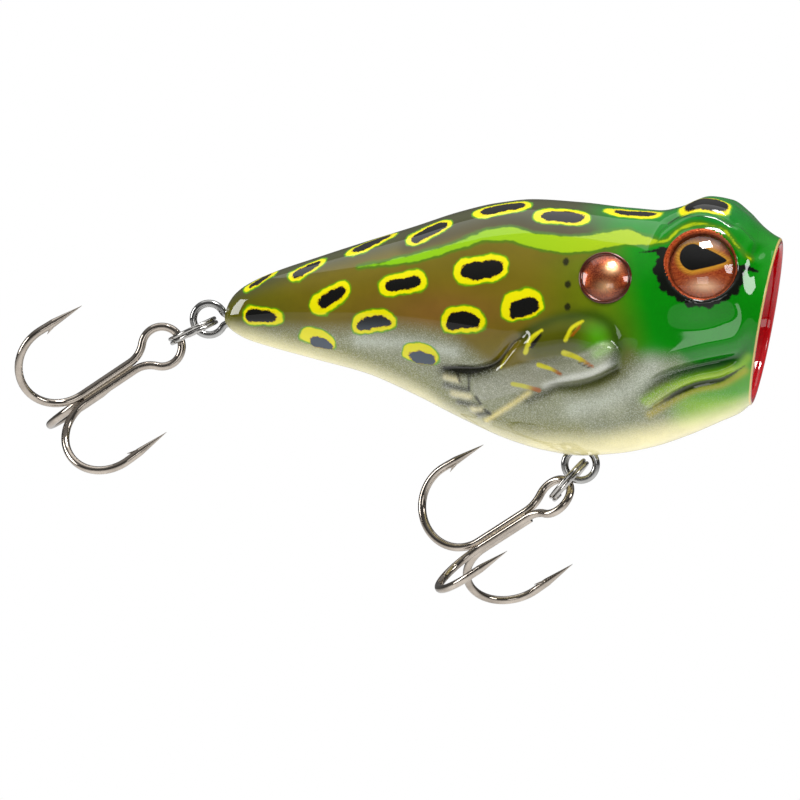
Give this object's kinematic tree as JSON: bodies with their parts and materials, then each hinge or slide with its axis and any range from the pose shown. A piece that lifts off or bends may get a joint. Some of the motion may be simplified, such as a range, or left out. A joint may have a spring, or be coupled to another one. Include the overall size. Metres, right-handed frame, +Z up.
{
  "type": "topwater popper lure",
  "caption": "Frog-patterned topwater popper lure: hollow hard body with cupped mouth, domed eyes, rattles, split rings and swinging treble hooks.",
  "frame": {"origin": "middle of the line tie's wire eye, in the mouth cup", "axes": "+X forward out of the mouth, +Y to the lure's left, +Z up"},
  "size_m": [0.0823, 0.0203, 0.0443],
  "materials": {
    "painted_shell": "moulded plastic, airbrushed and clear coated",
    "hanger_wire": "stainless wire",
    "weight_metal": "cast",
    "copper_eye": "metallic copper and gold print",
    "clear_lens": "clear dome",
    "copper_ear": "metallic copper",
    "ring_steel": "bright nickel plate",
    "hook_steel": "dark bright nickel plate",
    "braze": "silver braze",
    "ball_steel": "polished"
  },
  "bodies": {
    "lure": {"body_shell_right": "painted_shell", "body_shell_left": "painted_shell", "line_tie_wire": "hanger_wire", "belly_hanger_wire": "hanger_wire", "tail_hanger_wire": "hanger_wire", "casting_weight": "weight_metal", "eye_disc_right": "copper_eye", "eye_disc_left": "copper_eye", "eye_lens_right": "clear_lens", "eye_lens_left": "clear_lens", "ear_disc_right": "copper_ear", "ear_disc_left": "copper_ear"},
    "tail_ring": {"tail_split_ring": "ring_steel"},
    "tail_treble": {"tail_treble_double_hook": "hook_steel", "tail_treble_single_hook": "hook_steel", "tail_treble_braze": "braze"},
    "belly_ring": {"belly_split_ring": "ring_steel"},
    "belly_treble": {"belly_treble_double_hook": "hook_steel", "belly_treble_single_hook": "hook_steel", "belly_treble_braze": "braze"},
    "rattle_front": {"rattle_ball_front": "ball_steel"},
    "rattle_rear": {"rattle_ball_rear": "ball_steel"}
  },
  "joints": [
    {"name": "tail_ring_swing", "type": "hinge", "parent": "lure", "child": "tail_ring", "pos_m": [-0.0554, 0, 0.00013], "axis": [0, 1, 0], "range_deg": [-80, 60]},
    {"name": "tail_treble_swing", "type": "hinge", "parent": "tail_ring", "child": "tail_treble", "pos_m": [-0.05776, 0, -0.00101], "axis": [0.4352, 0, -0.9003], "range_deg": [-40, 30]},
    {"name": "belly_ring_swing", "type": "hinge", "parent": "lure", "child": "belly_ring", "pos_m": [-0.0154, 0, -0.01492], "axis": [0, 1, 0], "range_deg": [-105, 6]},
    {"name": "belly_treble_swing", "type": "hinge", "parent": "belly_ring", "child": "belly_treble", "pos_m": [-0.01714, 0, -0.01688], "axis": [0.7478, 0, -0.6639], "range_deg": [-50, 8]},
    {"name": "rattle_front_roll", "type": "slide", "parent": "lure", "child": "rattle_front", "axis": [0, 1, 0], "range_m": [-0.0039, 0.0039]},
    {"name": "rattle_rear_roll", "type": "slide", "parent": "lure", "child": "rattle_rear", "axis": [0, 1, 0], "range_m": [-0.0039, 0.0039]}
  ]
}
